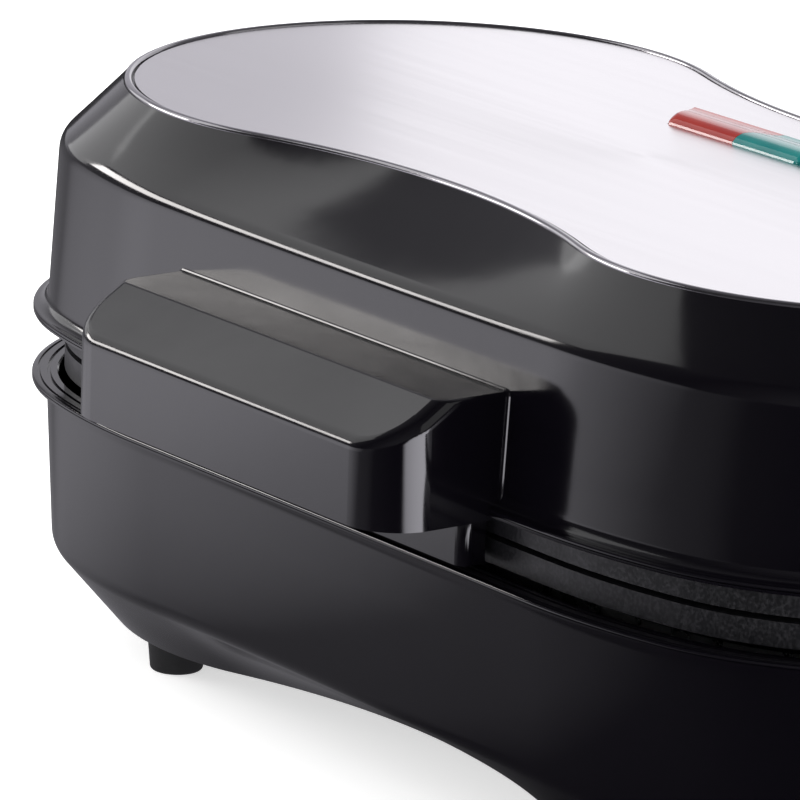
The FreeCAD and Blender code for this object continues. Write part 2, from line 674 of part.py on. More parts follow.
def handle_screws():
    """Screws from inside the lid into the handle's bosses."""
    y = -(BODY_Y + wall_off(HANDLE_SCREW_Z + 4.0 - PART_Z) - WALL)
    out = []
    for x in (-HANDLE_SCREW_X, HANDLE_SCREW_X):
        shank = rod_y(x, -82.0, y + 0.2, HANDLE_SCREW_Z, SCREW_R)
        head = rod_y(x, y + 0.15, y + 2.5, HANDLE_SCREW_Z, 3.6)
        out.append(shank.fuse(head).removeSplitter())
    return Part.makeCompound(out)


def latch_pin():
    """Pivot of the latch across the handle's well."""
    return rod_x(-LATCH_ARM_X - 4.0, LATCH_ARM_X + 4.0, LATCH_Y, LATCH_Z, LATCH_PIN_R)


def latch():
    """Bar under the handle with its arm up to the pivot and its hook down to the ledge."""
    ax = LATCH_ARM_X
    hub = rod_x(-ax, ax, LATCH_Y, LATCH_Z, 3.4)
    web = box(-ax, ax, -79.3, -75.9, 62.0, LATCH_Z)
    foot = box(-ax, ax, -79.3, -72.0, 62.0, 65.6)
    bar = box(-LATCH_BAR_X, LATCH_BAR_X, -75.6, -70.3, 56.4, 65.6)
    upright = []
    for e in bar.Edges:
        if e.BoundBox.ZLength > 5.0 and e.BoundBox.YMax < -75.0:
            upright.append(e)
    bar = bar.makeFillet(2.2, upright)
    reach = box(-TONGUE_X, TONGUE_X, -71.0, -61.6, 56.4, 59.9)
    tongue = box(-TONGUE_X, TONGUE_X, -63.9, -61.6, 47.8, 58.0)
    nose = box(-TONGUE_X, TONGUE_X, -65.8, -62.0, 47.8, 49.8)
    form = union([hub, web, foot, bar, reach, tongue, nose])
    return form.cut(rod_x(-ax - 1.0, ax + 1.0, LATCH_Y, LATCH_Z, LATCH_PIN_R + PIN_GAP))


def feet():
    """Tapered rubber feet with stems through the base cover."""
    out = []
    top = PART_Z - W_PANEL
    for x, y in foot_spots():
        pad = Part.makeCone(FOOT_R[0], FOOT_R[1], top, V(x, y, 0.0))
        pad = pad.makeFillet(0.8, [e for e in pad.Edges if abs(e.BoundBox.ZMax) < 1e-6])
        stem = rod(x, y, top - 0.5, top + 5.0, 2.5)
        out.append(pad.fuse(stem).removeSplitter())
    return Part.makeCompound(out)


NODES = {
    "lower_shell": lower_shell(),
    "base_cover": base_cover(),
    "base_cover_screws": cover_screws(),
    "rubber_feet": feet(),
    "lower_baking_plate": lower_plate(),
    "lower_heating_element": heating_element(-1),
    "lower_element_terminals": element_terminals(-1),
    "lower_reflector": reflector(-1),
    "lower_plate_screws": plate_screws(-1),
    "thermostat": thermostat(),
    "terminal_block": terminal_block(),
    "terminal_screws": terminal_screws(),
    "base_leads": base_leads(),
    "cord_gland": cord_gland(),
    "base_hinge_arms": hinge_arms(-1),
    "hinge_pins": hinge_pins(),
    "hinge_pin_clips": pin_clips(),
    "upper_shell": upper_shell(),
    "lid_hinge_arms": hinge_arms(1),
    "top_panel": top_panel(),
    "power_lens": lens(-1),
    "ready_lens": lens(1),
    "lamp_holder": lamp_holder(),
    "power_lamp": lamp(-1),
    "ready_lamp": lamp(1),
    "upper_baking_plate": upper_plate(),
    "upper_heating_element": heating_element(1),
    "upper_element_terminals": element_terminals(1),
    "upper_reflector": reflector(1),
    "upper_plate_screws": plate_screws(1),
    "thermal_fuse": thermal_fuse(),
    "fuse_strap": fuse_strap(),
    "fuse_strap_screw": strap_screw(),
    "lid_leads": lid_leads(),
    "handle": handle(),
    "handle_screws": handle_screws(),
    "latch_pin": latch_pin(),
    "latch": latch(),
}

os.makedirs("parts", exist_ok=True)
for name, shape in NODES.items():
    shape.translate(V(0, FRAME_Y, 0))
    shape.exportStep("parts/" + name + ".step")
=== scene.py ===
import json
import math

import bmesh
import bpy
from mathutils import Matrix, Vector

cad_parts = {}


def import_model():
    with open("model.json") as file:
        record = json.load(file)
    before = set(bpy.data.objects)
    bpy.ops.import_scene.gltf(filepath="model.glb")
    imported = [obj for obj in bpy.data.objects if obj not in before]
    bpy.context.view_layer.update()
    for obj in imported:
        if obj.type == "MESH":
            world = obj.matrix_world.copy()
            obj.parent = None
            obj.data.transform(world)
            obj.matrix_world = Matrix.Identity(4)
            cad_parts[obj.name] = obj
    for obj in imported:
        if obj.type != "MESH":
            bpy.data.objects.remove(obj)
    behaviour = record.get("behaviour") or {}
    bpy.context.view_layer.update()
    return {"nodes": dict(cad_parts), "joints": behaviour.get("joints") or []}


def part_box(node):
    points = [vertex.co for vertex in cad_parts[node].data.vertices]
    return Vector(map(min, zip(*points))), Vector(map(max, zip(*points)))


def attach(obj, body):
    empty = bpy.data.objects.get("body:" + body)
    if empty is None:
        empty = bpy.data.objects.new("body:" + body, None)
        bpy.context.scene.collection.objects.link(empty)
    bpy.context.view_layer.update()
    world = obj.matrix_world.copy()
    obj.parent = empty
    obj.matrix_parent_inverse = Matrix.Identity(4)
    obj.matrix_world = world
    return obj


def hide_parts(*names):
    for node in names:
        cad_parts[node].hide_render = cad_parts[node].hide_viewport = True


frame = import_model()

MM = 0.001


# ---- what the frame says -------------------------------------------------------------

def hinge_at(name):
    """A joint's point, in mm."""
    for j in frame["joints"]:
        if j["name"] == name:
            return [c / MM for c in j["pos_m"]]
    raise ValueError(name)


HINGE_Y, PART_Z = hinge_at("lid_hinge")[1:]
panel_low, panel_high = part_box("top_panel")
MID_Y = (panel_low[1] + panel_high[1]) / 2.0 / MM
W_PANEL = panel_high[2] / MM - PART_Z
LOBE_R = (panel_high[1] - panel_low[1]) / 2.0 / MM
LOBE_X = panel_high[0] / MM - LOBE_R
shell_low, shell_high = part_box("upper_shell")
W_BEZEL = shell_high[2] / MM - PART_Z
handle_low, handle_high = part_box("handle")
HANDLE_X = handle_high[0] / MM
HANDLE_Z0 = handle_low[2] / MM
HANDLE_Z2 = handle_high[2] / MM

# Plan of the body, in mm: a straight front, a wide arc, a tight arc and a straight end.
BODY_Y = 69.5
BODY_XS = 61.0
FRONT_R = 141.0
FRONT_TURN = math.radians(13.85)
END_R = 54.3

# Plan of the panel: its waist, the gap round it and the width of the bezel.
WAIST_Y = 44.8
PANEL_GAP = 0.15
BEZEL_W = 2.2
QUARTER = 96

# Levels of a half; w is the distance from the parting plane.
W_RIM = 6.2
W_LIP = 7.7
W_EDGE = 40.7
W_BAND = 53.2
PANEL_T = 0.9
W_CEILING = W_PANEL - 3.3

# Section of a half's moulding.
DRAFT_ANGLE = math.radians(3.0)
DRAFT = math.tan(DRAFT_ANGLE)
WALL = 2.5
LIP_OUT = 4.6
LIP_FILLET = 2.4
EDGE_SOFT = 2.2


# ---- plan curves -----------------------------------------------------------------------

def body_quarter():
    """Runs of the body's front right quarter: (length, point and normal at a distance)."""
    c1 = (BODY_XS, FRONT_R - BODY_Y)
    c2 = (c1[0] + (FRONT_R - END_R) * math.sin(FRONT_TURN),
          c1[1] - (FRONT_R - END_R) * math.cos(FRONT_TURN))
    end_x = c2[0] + END_R

    def front(s):
        return (s, -BODY_Y, 0.0, -1.0)

    def wide(s):
        a = s / FRONT_R
        return (c1[0] + FRONT_R * math.sin(a), c1[1] - FRONT_R * math.cos(a),
                math.sin(a), -math.cos(a))

    def tight(s):
        a = FRONT_TURN + s / END_R
        return (c2[0] + END_R * math.sin(a), c2[1] - END_R * math.cos(a),
                math.sin(a), -math.cos(a))

    def end(s):
        return (end_x, c2[1] + s, 1.0, 0.0)

    return [(BODY_XS, front), (FRONT_R * FRONT_TURN, wide),
            (END_R * (math.pi / 2.0 - FRONT_TURN), tight), (-c2[1], end)]


def panel_quarter():
    """Runs of the panel's front right quarter."""
    waist_r = (LOBE_X ** 2 + WAIST_Y ** 2 - LOBE_R ** 2) / (2.0 * (LOBE_R - WAIST_Y))
    turn = math.atan2(LOBE_X, WAIST_Y + waist_r)

    def waist(s):
        a = s / waist_r
        return (waist_r * math.sin(a), -(WAIST_Y + waist_r) + waist_r * math.cos(a),
                -math.sin(a), -math.cos(a))

    def lobe(s):
        a = -turn + s / LOBE_R
        return (LOBE_X + LOBE_R * math.sin(a), -LOBE_R * math.cos(a),
                math.sin(a), -math.cos(a))

    return [(waist_r * turn, waist), (LOBE_R * (turn + math.pi / 2.0), lobe)]


def quarter_points(runs, n):
    """n + 1 evenly spaced (x, y, nx, ny) from the front middle to the right end."""
    total = sum(r[0] for r in runs)
    out = []
    for i in range(n + 1):
        s = total * i / n
        for length, at in runs:
            if s <= length + 1e-9:
                out.append(at(s))
                break
            s -= length
    return out


def full_loop(quarter):
    """Whole closed loop from the front right quarter."""
    loop = list(quarter[:-1])
    loop += [(x, -y, nx, -ny) for x, y, nx, ny in reversed(quarter[1:])]
    loop += [(-x, -y, -nx, -ny) for x, y, nx, ny in quarter[:-1]]
    loop += [(-x, y, -nx, ny) for x, y, nx, ny in reversed(quarter[1:])]
    return loop


BODY = full_loop(quarter_points(body_quarter(), QUARTER))
PANEL = full_loop(quarter_points(panel_quarter(), QUARTER))


def grown(loop, off, w):
    """A plan loop grown by off at level w."""
    return [Vector((x + nx * off, y + ny * off, w)) for x, y, nx, ny in loop]


def wall_off(w):
    """How far the drafted wall stands outside the plan at level w."""
    return (W_EDGE - w) * DRAFT


def mixed(a, b, t):
    """Points between two loops."""
    return [p.lerp(q, t) for p, q in zip(a, b)]


def rounded(a, corner, b, steps):
    """Loops of a rounded corner from loop a to loop b."""
    out = []
    for i in range(steps + 1):
        t = i / steps
        out.append([p * (1 - t) ** 2 + c * 2 * t * (1 - t) + q * t ** 2
                    for p, c, q in zip(a, corner, b)])
    return out


# ---- mesh helpers ----------------------------------------------------------------------

def new_object(name, bm, material, angle):
    """Object from a bmesh in mm, scaled to metres; edges above an angle in degrees stay sharp."""
    bmesh.ops.recalc_face_normals(bm, faces=bm.faces)
    bmesh.ops.scale(bm, vec=(MM, MM, MM), verts=bm.verts)
    me = bpy.data.meshes.new(name)
    bm.to_mesh(me)
    bm.free()
    me.update()
    me.shade_smooth()
    me.set_sharp_from_angle(angle=math.radians(angle))
    ob = bpy.data.objects.new(name, me)
    bpy.context.scene.collection.objects.link(ob)
    ob.data.materials.append(material)
    return ob


def in_row(v, side):
    """Local half coordinates to the row frame, in mm."""
    return Vector((v.x, v.y + MID_Y, PART_Z + side * v.z))


def add_skin(bm, loops, side, cap_first=True, cap_last=True):
    """Quads between successive loops; the ends are closed by faces."""
    rows = [[bm.verts.new(in_row(p, side)) for p in loop] for loop in loops]
    n = len(rows[0])
    for a, b in zip(rows[:-1], rows[1:]):
        for i in range(n):
            k = (i + 1) % n
            bm.faces.new((a[i], a[k], b[k], b[i]))
    if cap_first:
        bm.faces.new(list(reversed(rows[0])))
    if cap_last:
        bm.faces.new(rows[-1])


def add_prism(bm, profile, x0, x1, bevel):
    """Prism along X of a (y, z) outline, with the edges of both ends bevelled."""
    a = [bm.verts.new((x0, y, z)) for y, z in profile]
    b = [bm.verts.new((x1, y, z)) for y, z in profile]
    n = len(profile)
    ends = [bm.faces.new(a), bm.faces.new(list(reversed(b)))]
    for i in range(n):
        k = (i + 1) % n
        bm.faces.new((a[k], a[i], b[i], b[k]))
    edges = list(ends[0].edges) + list(ends[1].edges)
    bmesh.ops.bevel(bm, geom=edges, offset=bevel, segments=2, profile=0.5, affect="EDGES")


# ---- materials -------------------------------------------------------------------------

class Paint:
    """Small helper around one node material."""

    def __init__(self, name):
        self.mat = bpy.data.materials.new(name)
        self.mat.use_nodes = True
        self.tree = self.mat.node_tree
        self.shader = self.tree.nodes["Principled BSDF"]
        self.place = self.tree.nodes.new("ShaderNodeTexCoord").outputs["Object"]

    def set(self, **values):
        """Constants on the shader's own sockets."""
        for key, value in values.items():
            self.shader.inputs[key.replace("_", " ")].default_value = value

    def node(self, kind, **inputs):
        """A node with inputs given by name, or by number as i0, i1: sockets are linked."""
        n = self.tree.nodes.new(kind)
        for key, value in inputs.items():
            numbered = key[0] == "i" and key[1:].isdigit()
            socket = n.inputs[int(key[1:]) if numbered else key.replace("_", " ")]
            if isinstance(value, bpy.types.NodeSocket):
                self.tree.links.new(value, socket)
            else:
                socket.default_value = value
        return n

    def stretched(self, x, y, z):
        """Object coordinates stretched by three factors."""
        m = self.node("ShaderNodeMapping", Vector=self.place, Scale=(x, y, z))
        return m.outputs["Vector"]

    def noise(self, scale, detail=3.0, vector=None, distortion=0.0):
        """Noise value at a scale in 1/m."""
        n = self.node("ShaderNodeTexNoise", Vector=vector or self.place, Scale=scale,
                      Detail=detail, Distortion=distortion)
        return n.outputs["Fac"]

    def ramp(self, fac, low, high, a, b):
        """Value from low to high as fac goes from a to b."""
        n = self.node("ShaderNodeMapRange", Value=fac)
        n.inputs["From Min"].default_value = a
        n.inputs["From Max"].default_value = b
        n.inputs["To Min"].default_value = low
        n.inputs["To Max"].default_value = high
        return n.outputs["Result"]

    def tint(self, fac, a, b):
        """Colour between a and b."""
        n = self.tree.nodes.new("ShaderNodeMix")
        n.data_type = "RGBA"
        self.tree.links.new(fac, n.inputs["Factor"])
        n.inputs["A"].default_value = (*a, 1.0)
        n.inputs["B"].default_value = (*b, 1.0)
        return n.outputs["Result"]

    def to(self, socket, value):
        """Links a value to one of the shader's sockets."""
        self.tree.links.new(value, self.shader.inputs[socket])

    def bump(self, height, strength, distance):
        """Bump from a height value; it stacks on an earlier one."""
        old = self.shader.inputs["Normal"].links
        n = self.node("ShaderNodeBump", Height=height, Strength=strength, Distance=distance)
        if old:
            self.tree.links.new(old[0].from_socket, n.inputs["Normal"])
        self.to("Normal", n.outputs["Normal"])


def gloss_black():
    """High-gloss moulded plastic with a little orange peel and faint haze."""
    p = Paint("gloss_black_plastic")
    p.set(Specular_IOR_Level=0.55, IOR=1.5)
    p.to("Base Color", p.tint(p.noise(14.0, 2.0), (0.0012, 0.0009, 0.0018), (0.0028, 0.0023, 0.0040)))
    p.to("Roughness", p.ramp(p.noise(38.0, 4.0), 0.085, 0.14, 0.3, 0.7))
    p.bump(p.noise(120.0, 2.0), 0.04, 0.0004)
    return p.mat


def matt_black():
    """Fine spark-eroded texture."""
    p = Paint("textured_black_plastic")
    p.to("Base Color", p.tint(p.noise(60.0), (0.012, 0.012, 0.013), (0.022, 0.021, 0.023)))
    p.to("Roughness", p.ramp(p.noise(220.0), 0.46, 0.62, 0.3, 0.7))
    p.bump(p.noise(2600.0, 2.0), 0.25, 0.0002)
    return p.mat


def rubber():
    """Moulded rubber with a dusty bloom."""
    p = Paint("black_rubber")
    p.to("Base Color", p.tint(p.noise(90.0, 4.0), (0.008, 0.008, 0.009), (0.020, 0.020, 0.022)))
    p.to("Roughness", p.ramp(p.noise(300.0), 0.42, 0.68, 0.3, 0.7))
    p.bump(p.noise(1800.0, 2.0), 0.2, 0.0002)
    return p.mat


def brushed(name, light, dark, rough_low, rough_high):
    """Brushed metal: hairlines along X."""
    p = Paint(name)
    along, across = 9.0, 2600.0
    lines = p.noise(1.0, 4.0, p.stretched(along, across, across))
    wide = p.noise(1.0, 3.0, p.stretched(along * 0.5, across * 0.12, across * 0.12))
    p.set(Metallic=1.0, Anisotropic=0.35)
    p.to("Base Color", p.tint(lines, dark, light))
    p.to("Roughness", p.ramp(wide, rough_low, rough_high, 0.3, 0.7))
    p.bump(lines, 0.015, 0.00002)
    return p.mat


def plain_metal(name, light, dark, low, high, grain=500.0):
    """Plated or rolled metal with mottled gloss."""
    p = Paint(name)
    p.set(Metallic=1.0)
    p.to("Base Color", p.tint(p.noise(grain * 0.4, 3.0), dark, light))
    p.to("Roughness", p.ramp(p.noise(grain, 3.0), low, high, 0.3, 0.7))
    p.bump(p.noise(grain * 3.0, 2.0), 0.08, 0.0001)
    return p.mat


def heat_tinted():
    """Element sheath: steel going straw, brown and grey-blue with heat."""
    p = Paint("heat_tinted_sheath")
    p.set(Metallic=0.9)
    n = p.node("ShaderNodeValToRGB", Fac=p.noise(26.0, 3.0, distortion=0.6))
    stops = n.color_ramp.elements
    stops[0].position = 0.3
    stops[0].color = (0.16, 0.14, 0.13, 1.0)
    stops[1].position = 0.75
    stops[1].color = (0.20, 0.21, 0.25, 1.0)
    middle = stops.new(0.52)
    middle.color = (0.34, 0.24, 0.14, 1.0)
    p.to("Base Color", n.outputs["Color"])
    p.to("Roughness", p.ramp(p.noise(400.0), 0.32, 0.5, 0.3, 0.7))
    p.bump(p.noise(1500.0), 0.12, 0.0001)
    return p.mat


def nonstick():
    """Dark coated casting: fine speckle in an even film, softly shiny."""
    p = Paint("nonstick_coating")
    grain = p.noise(1500.0, 4.0)
    p.set(Specular_IOR_Level=0.5)
    speckle = p.ramp(grain, 0.0, 1.0, 0.42, 0.68)
    p.to("Base Color", p.tint(speckle, (0.006, 0.006, 0.008), (0.022, 0.021, 0.025)))
    p.to("Roughness", p.ramp(p.noise(160.0, 4.0), 0.30, 0.46, 0.3, 0.7))
    p.bump(grain, 0.22, 0.00012)
    p.bump(p.noise(260.0, 2.0), 0.10, 0.0004)
    return p.mat


def tinted_lens(name, colour, deep):
    """Clear tinted plastic, a little uneven in depth of colour."""
    p = Paint(name)
    p.set(Transmission_Weight=0.35, IOR=1.49, Specular_IOR_Level=0.6)
    p.to("Base Color", p.tint(p.ramp(p.noise(55.0, 2.0), 0.0, 1.0, 0.3, 0.7), deep, colour))
    p.to("Roughness", p.ramp(p.noise(90.0), 0.04, 0.10, 0.3, 0.7))
    p.bump(p.noise(400.0, 2.0), 0.03, 0.0002)
    return p.mat


def ceramic(name, colour):
    """Pale heat-proof moulding with a chalky grain."""
    p = Paint(name)
    shade = tuple(c * 0.86 for c in colour)
    p.to("Base Color", p.tint(p.noise(140.0, 4.0), shade, colour))
    p.to("Roughness", p.ramp(p.noise(420.0), 0.45, 0.65, 0.3, 0.7))
    p.bump(p.noise(1400.0), 0.15, 0.0002)
    return p.mat


def sleeving():
    """Braided glass-fibre sleeve: two crossing sets of strands."""
    p = Paint("glass_fibre_sleeve")
    a = p.node("ShaderNodeTexWave", Vector=p.stretched(1.0, 1.0, 1.3), Scale=340.0, Distortion=0.4)
    b = p.node("ShaderNodeTexWave", Vector=p.stretched(-1.0, 1.0, -1.3), Scale=340.0, Distortion=0.4)
    a.bands_direction = b.bands_direction = "DIAGONAL"
    weave = p.node("ShaderNodeMath", i0=a.outputs["Fac"], i1=b.outputs["Fac"])
    weave.operation = "MULTIPLY"
    p.to("Base Color", p.tint(weave.outputs[0], (0.42, 0.40, 0.36), (0.80, 0.78, 0.72)))
    p.to("Roughness", p.ramp(p.noise(500.0), 0.6, 0.8, 0.3, 0.7))
    p.bump(weave.outputs[0], 0.5, 0.0003)
    return p.mat


def lamp_glass():
    """Clear glass of the small lamps."""
    p = Paint("lamp_glass")
    p.set(Transmission_Weight=0.85, IOR=1.47)
    p.to("Base Color", p.tint(p.noise(300.0), (0.86, 0.86, 0.84), (0.95, 0.95, 0.93)))
    p.to("Roughness", p.ramp(p.noise(200.0), 0.03, 0.08, 0.3, 0.7))
    return p.mat


BLACK = gloss_black()
MATT = matt_black()
STEEL = brushed("brushed_panel", (0.83, 0.81, 0.825), (0.80, 0.78, 0.795), 0.22, 0.25)
ZINC = plain_metal("zinc_plated_steel", (0.62, 0.62, 0.63), (0.45, 0.45, 0.46), 0.28, 0.42)
SHEET = plain_metal("bright_sheet", (0.80, 0.81, 0.82), (0.64, 0.65, 0.66), 0.22, 0.38, 180.0)
TRIM = plain_metal("polished_trim", (0.42, 0.41, 0.43), (0.34, 0.33, 0.35), 0.10, 0.16)
BRASS = plain_metal("brass_can", (0.72, 0.56, 0.30), (0.55, 0.40, 0.20), 0.25, 0.40)
SHEATH = heat_tinted()
COATED = nonstick()
RUBBER = rubber()
RED = tinted_lens("red_lens", (0.66, 0.07, 0.04), (0.46, 0.03, 0.025))
GREEN = tinted_lens("green_lens", (0.02, 0.40, 0.37), (0.008, 0.24, 0.24))
CERAMIC = ceramic("steatite", (0.80, 0.77, 0.70))
WHITE = ceramic("white_moulding", (0.78, 0.76, 0.72))
SLEEVE = sleeving()
GLASS = lamp_glass()

LOOKS = {
    "base_cover": MATT, "lamp_holder": WHITE, "terminal_block": WHITE,
    "base_cover_screws": ZINC, "lower_plate_screws": ZINC, "upper_plate_screws": ZINC,
    "handle_screws": ZINC, "fuse_strap_screw": ZINC, "fuse_strap": ZINC, "terminal_screws": ZINC,
    "hinge_pins": ZINC, "hinge_pin_clips": ZINC, "latch_pin": ZINC,
    "rubber_feet": RUBBER, "cord_gland": RUBBER,
    "lower_baking_plate": COATED, "upper_baking_plate": COATED,
    "lower_heating_element": SHEATH, "upper_heating_element": SHEATH,
    "lower_element_terminals": CERAMIC, "upper_element_terminals": CERAMIC,
    "lower_reflector": SHEET, "upper_reflector": SHEET, "thermostat": SHEET,
    "thermal_fuse": BRASS,
    "base_leads": SLEEVE, "lid_leads": SLEEVE, "top_panel": STEEL,
    "power_lens": RED, "ready_lens": GREEN, "power_lamp": GLASS, "ready_lamp": GLASS,
    "lower_shell": BLACK, "upper_shell": BLACK, "handle": BLACK, "latch": BLACK,
    "base_hinge_arms": BLACK, "lid_hinge_arms": BLACK,
}
for node, ob in frame["nodes"].items():
    ob.data.materials.clear()
    ob.data.materials.append(LOOKS[node])


# ---- casings -----------------------------------------------------------------------------

# Sections of a half from the inside out, as (distance outside a plan, level).
# Rim face outside the inner ledge: a groove, a flat, a second groove and the rounded bead.
RIM_FACE = ((0.9, W_RIM), (1.0, W_RIM + 0.6), (1.5, W_RIM + 0.6), (1.6, W_RIM),
            (3.0, W_RIM), (3.1, W_RIM + 0.4), (3.45, W_RIM + 0.4), (3.55, W_RIM),
            (4.25, W_RIM), (4.48, W_RIM + 0.10), (LIP_OUT, W_RIM + 0.33),
            (LIP_OUT, W_RIM + 0.62), (LIP_OUT - 0.22, W_RIM + 0.72), (LIP_OUT, W_RIM + 0.82),
            (LIP_OUT, W_LIP - 0.35), (LIP_OUT - 0.12, W_LIP - 0.1), (LIP_OUT - 0.4, W_LIP))
WALL_LEVELS = (18.0, 26.0, 34.0)
# Channel for the trim, then the recess under the panel.
CHANNEL = ((2.19, 53.15), (2.17, 53.05), (2.16, 52.7), (0.42, 52.7), (0.38, 52.95),
           (PANEL_GAP, 52.95), (PANEL_GAP, W_PANEL - PANEL_T))
# The trim itself, once round its half-round top and flat sides.
TRIM_RING = ((2.1, 52.75), (2.1, 53.35), (2.02, 53.6), (1.82, 53.82), (1.55, 53.95),
             (1.25, W_BEZEL), (0.95, 53.96), (0.72, 53.82), (0.56, 53.6), (0.5, 53.3),
             (0.5, 52.75), (2.1, 52.75))

# Ledge in the base that the latch's hook goes under, as (y, z) in the frame.
LEDGE = ((-66.25, 50.2), (-62.85, 50.2), (-62.85, 52.2), (-66.25, 52.2))
LEDGE_X = 12.0
LEDGE_SOFT = 0.3


def casing(name, side, node, body):
    """Outer and inner skin of one half, swept round the plan with a soft edge at the band."""
    bm = bmesh.new()
    rim_in = wall_off(W_RIM) - WALL
    loops = [grown(PANEL, -2.0, W_CEILING), grown(BODY, -WALL, W_EDGE - 1.2),
             grown(BODY, rim_in, W_RIM + 0.3), grown(BODY, rim_in + 0.3, W_RIM)]
    loops += [grown(BODY, off, w) for off, w in RIM_FACE]
    # Hollow fillet between the lip and the wall.
    r = LIP_FILLET
    base = wall_off(W_LIP + r)
    steps = 8
    for i in range(steps + 1):
        a = math.pi / 2.0 * i / steps
        loops.append(grown(BODY, base + r - r * math.sin(a), W_LIP + r - r * math.cos(a)))
    # Wall, soft edge, band.
    wall_top = grown(BODY, 0.0, W_EDGE)
    band_top = grown(PANEL, BEZEL_W, W_BAND)
    loops += [grown(BODY, wall_off(w), w) for w in WALL_LEVELS]
    soft_low = grown(BODY, wall_off(W_EDGE - EDGE_SOFT), W_EDGE - EDGE_SOFT)
    soft_high = [p + (q - p).normalized() * EDGE_SOFT for p, q in zip(wall_top, band_top)]
    loops += rounded(soft_low, wall_top, soft_high, steps)
    loops += [mixed(soft_high, band_top, t) for t in (0.3, 0.55, 0.8)]
    loops.append(band_top)
    loops += [grown(PANEL, off, w) for off, w in CHANNEL]
    add_skin(bm, loops, side)
    if side < 0:
        add_prism(bm, LEDGE, -LEDGE_X, LEDGE_X, LEDGE_SOFT)
    ob = new_object(name, bm, BLACK, 28.0)
    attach(ob, body)
    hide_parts(node)


def bezel_trim():
    """Polished half-round trim in the channel round the panel."""
    bm = bmesh.new()
    add_skin(bm, [grown(PANEL, off, w) for off, w in TRIM_RING], 1, False, False)
    bmesh.ops.remove_doubles(bm, verts=bm.verts, dist=0.0001)
    ob = new_object("bezel_trim", bm, TRIM, 50.0)
    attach(ob, "lid")


bezel_trim()
casing("lid_casing", 1, "upper_shell", "lid")
casing("base_casing", -1, "lower_shell", "base")


# ---- handle's seam ------------------------------------------------------------------------

def add_tube(bm, points, normal, radius, sides=8):
    """Closed round bead along a flat loop of points."""
    rows = []
    n = len(points)
    for i, p in enumerate(points):
        along = (points[(i + 1) % n] - points[i - 1]).normalized()
        side = along.cross(normal).normalized()
        row = []
        for k in range(sides):
            a = 2.0 * math.pi * k / sides
            row.append(bm.verts.new(p + radius * (math.cos(a) * normal + math.sin(a) * side)))
        rows.append(row)
    for i in range(n):
        a, b = rows[i], rows[(i + 1) % n]
        for k in range(sides):
            m = (k + 1) % sides
            bm.faces.new((a[k], a[m], b[m], b[k]))


SEAM_OUT = 0.15
SEAM_R = 0.38
SEAM_CORNER = 1.0


def handle_seam():
    """Thin bead where the handle meets the drafted front wall."""
    right = HANDLE_X + SEAM_OUT - SEAM_CORNER
    low = HANDLE_Z0 - SEAM_OUT + SEAM_CORNER
    high = HANDLE_Z2 + SEAM_OUT - SEAM_CORNER
    turn_steps, run_steps = 6, 4
    flat = []
    for x, z, start in ((right, high, 0.0), (-right, high, 90.0), (-right, low, 180.0),
                        (right, low, 270.0)):
        for i in range(turn_steps + 1):
            a = math.radians(start + 90.0 / turn_steps * i)
            flat.append((x + SEAM_CORNER * math.cos(a), z + SEAM_CORNER * math.sin(a)))
    points = []
    for (x0, z0), (x1, z1) in zip(flat, flat[1:] + flat[:1]):
        for i in range(run_steps):
            t = i / run_steps
            x, z = x0 + (x1 - x0) * t, z0 + (z1 - z0) * t
            points.append(Vector((x, MID_Y - BODY_Y - wall_off(z - PART_Z), z)))
    bm = bmesh.new()
    outwards = Vector((0.0, -math.cos(DRAFT_ANGLE), math.sin(DRAFT_ANGLE)))
    add_tube(bm, points, outwards, SEAM_R)
    ob = new_object("handle_seam", bm, BLACK, 30.0)
    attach(ob, "lid")


def soften(node, width):
    """Small rounding, in mm, on the sharp edges of a CAD node, by modifiers only."""
    ob = frame["nodes"][node]
    weld = ob.modifiers.new("weld", "WELD")
    weld.merge_threshold = 0.00001
    bevel = ob.modifiers.new("soft_edges", "BEVEL")
    bevel.width = width * MM
    bevel.segments = 2
    bevel.limit_method = "ANGLE"
    bevel.angle_limit = math.radians(38.0)
    bevel.harden_normals = True


handle_seam()
for node, width in (("latch", 0.35), ("rubber_feet", 0.5)):
    soften(node, width)


# ---- indicator lenses ---------------------------------------------------------------------

LENS_CREST = 0.24
LENS_LIFT = 0.35
LENS_SLANT = 8.0


def lens_level(t):
    """Height of the rounded ridge above its edge, 0 to 1, at t across it from the front."""
    if t < LENS_CREST:
        return math.sin(math.pi / 2.0 * t / LENS_CREST) ** 0.7
    return 0.5 + 0.5 * math.cos(math.pi * (t - LENS_CREST) / (1.0 - LENS_CREST))


def lens_body(node, side, material):
    """One half of the rounded indicator bar; its outer end is slanted and softened."""
    low, high = [[c / MM for c in corner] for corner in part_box(node)]
    inner = high[0] if side < 0 else low[0]
    outer = low[0] if side < 0 else high[0]
    across, along = 28, 24
    edge = W_PANEL + PART_Z + LENS_LIFT
    bm = bmesh.new()
    rows = []
    for i in range(along + 1):
        u = (i / along) ** 2.2
        soft = math.sin(math.pi / 2.0 * min(1.0, 0.35 + u * 9.0))
        row = []
        for k in range(across + 1):
            t = k / across
            end = outer - side * LENS_SLANT * (1.0 - t)
            x = end + (inner - end) * u
            y = low[1] + (high[1] - low[1]) * t
            row.append(bm.verts.new((x, y, edge + (high[2] - edge) * lens_level(t) * soft)))
        slanted = outer - side * LENS_SLANT
        row.append(bm.verts.new((outer + (inner - outer) * u, high[1], low[2])))
        row.append(bm.verts.new((slanted + (inner - slanted) * u, low[1], low[2])))
        rows.append(row)
    n = len(rows[0])
    for a, b in zip(rows[:-1], rows[1:]):
        for k in range(n):
            m = (k + 1) % n
            bm.faces.new((a[k], a[m], b[m], b[k]))
    bm.faces.new(rows[0])
    bm.faces.new(rows[-1])
    ob = new_object(node + "_body", bm, material, 50.0)
    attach(ob, "lid")
    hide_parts(node)


